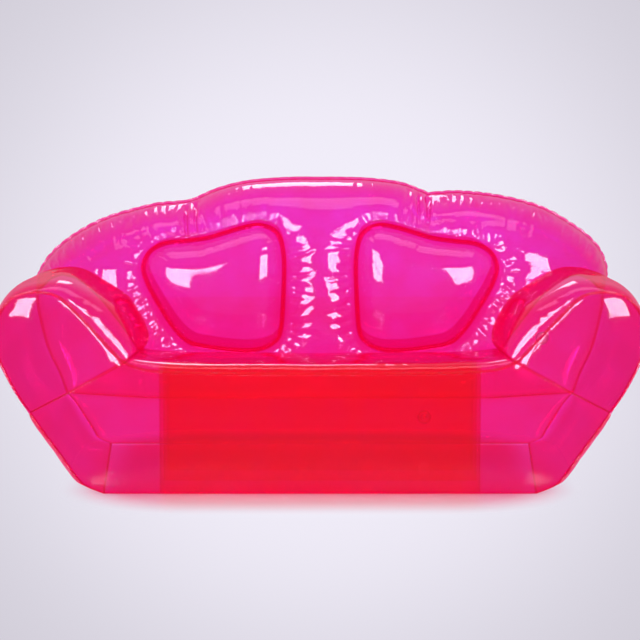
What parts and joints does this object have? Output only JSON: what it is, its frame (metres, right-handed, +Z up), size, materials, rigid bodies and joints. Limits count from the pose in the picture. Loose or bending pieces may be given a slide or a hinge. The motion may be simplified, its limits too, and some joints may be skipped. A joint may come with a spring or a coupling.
{
  "type": "inflatable sofa",
  "caption": "Wide inflatable sofa of tinted see-through vinyl film, with rounded arms, a lobed backrest, raised back pillows and air valves at the back.",
  "frame": {"origin": "middle of the flat bottom sheet on the floor, midway between the front and rear seams", "axes": "+X to the right as seen from the front, +Y from the front to the back, +Z up"},
  "size_m": [1.683, 0.8764, 0.7693],
  "materials": {
    "film": "glossy see-through pink vinyl film",
    "inner_film": "see-through red-pink vinyl film",
    "weld": "doubled, heat-welded vinyl film",
    "valve_vinyl": "milky soft vinyl"
  },
  "bodies": {
    "film": {"front_panel": "film", "arm_front_left": "film", "arm_front_right": "film", "rear_panel": "film", "rear_base_panel": "film", "bottom_panel": "film", "seat_panel": "film", "side_panel_left": "film", "side_panel_right": "film", "arm_panel_left": "film", "arm_panel_right": "film", "backrest_panel": "film", "pillow_panel_left": "film", "pillow_panel_right": "film", "seat_baffle_front": "inner_film", "seat_baffle_middle": "inner_film", "seat_baffle_rear": "inner_film", "arm_diaphragm_left": "inner_film", "arm_diaphragm_right": "inner_film", "back_diaphragm": "inner_film", "pillow_web_left": "inner_film", "pillow_web_right": "inner_film", "front_seam": "weld", "rear_seam": "weld", "neck_weld_left": "weld", "neck_weld_right": "weld", "side_weld_left": "weld", "side_weld_right": "weld", "base_weld_left": "weld", "base_weld_right": "weld", "arm_weld_left": "weld", "arm_weld_right": "weld", "pillow_weld_left": "weld", "pillow_weld_right": "weld", "seat_back_weld": "weld", "rear_weld": "weld", "back_valve_flange": "valve_vinyl", "seat_valve_flange": "valve_vinyl"},
    "back_stem": {"back_valve_stem": "valve_vinyl"},
    "back_plug": {"back_valve_plug": "valve_vinyl"},
    "back_flap": {"back_valve_flap": "valve_vinyl"},
    "seat_stem": {"seat_valve_stem": "valve_vinyl"},
    "seat_plug": {"seat_valve_plug": "valve_vinyl"},
    "seat_flap": {"seat_valve_flap": "valve_vinyl"}
  },
  "joints": [
    {"name": "back_stem_push", "type": "slide", "parent": "film", "child": "back_stem", "axis": [0, 1, 0], "range_m": [-0.012, 0]},
    {"name": "back_plug_swing", "type": "hinge", "parent": "back_stem", "child": "back_plug", "pos_m": [0.6496, 0.4496, 0.3], "axis": [0, 0, -1], "range_deg": [0, 150]},
    {"name": "back_flap_swing", "type": "hinge", "parent": "back_stem", "child": "back_flap", "pos_m": [0.6466, 0.43, 0.3], "axis": [0, 0, 1], "range_deg": [0, 60]},
    {"name": "seat_stem_push", "type": "slide", "parent": "film", "child": "seat_stem", "axis": [0, 1, 0], "range_m": [-0.012, 0]},
    {"name": "seat_plug_swing", "type": "hinge", "parent": "seat_stem", "child": "seat_plug", "pos_m": [0.3096, 0.42205, 0.075], "axis": [0, 0, -1], "range_deg": [0, 150]},
    {"name": "seat_flap_swing", "type": "hinge", "parent": "seat_stem", "child": "seat_flap", "pos_m": [0.3066, 0.40245, 0.075], "axis": [0, 0, 1], "range_deg": [0, 60]}
  ]
}
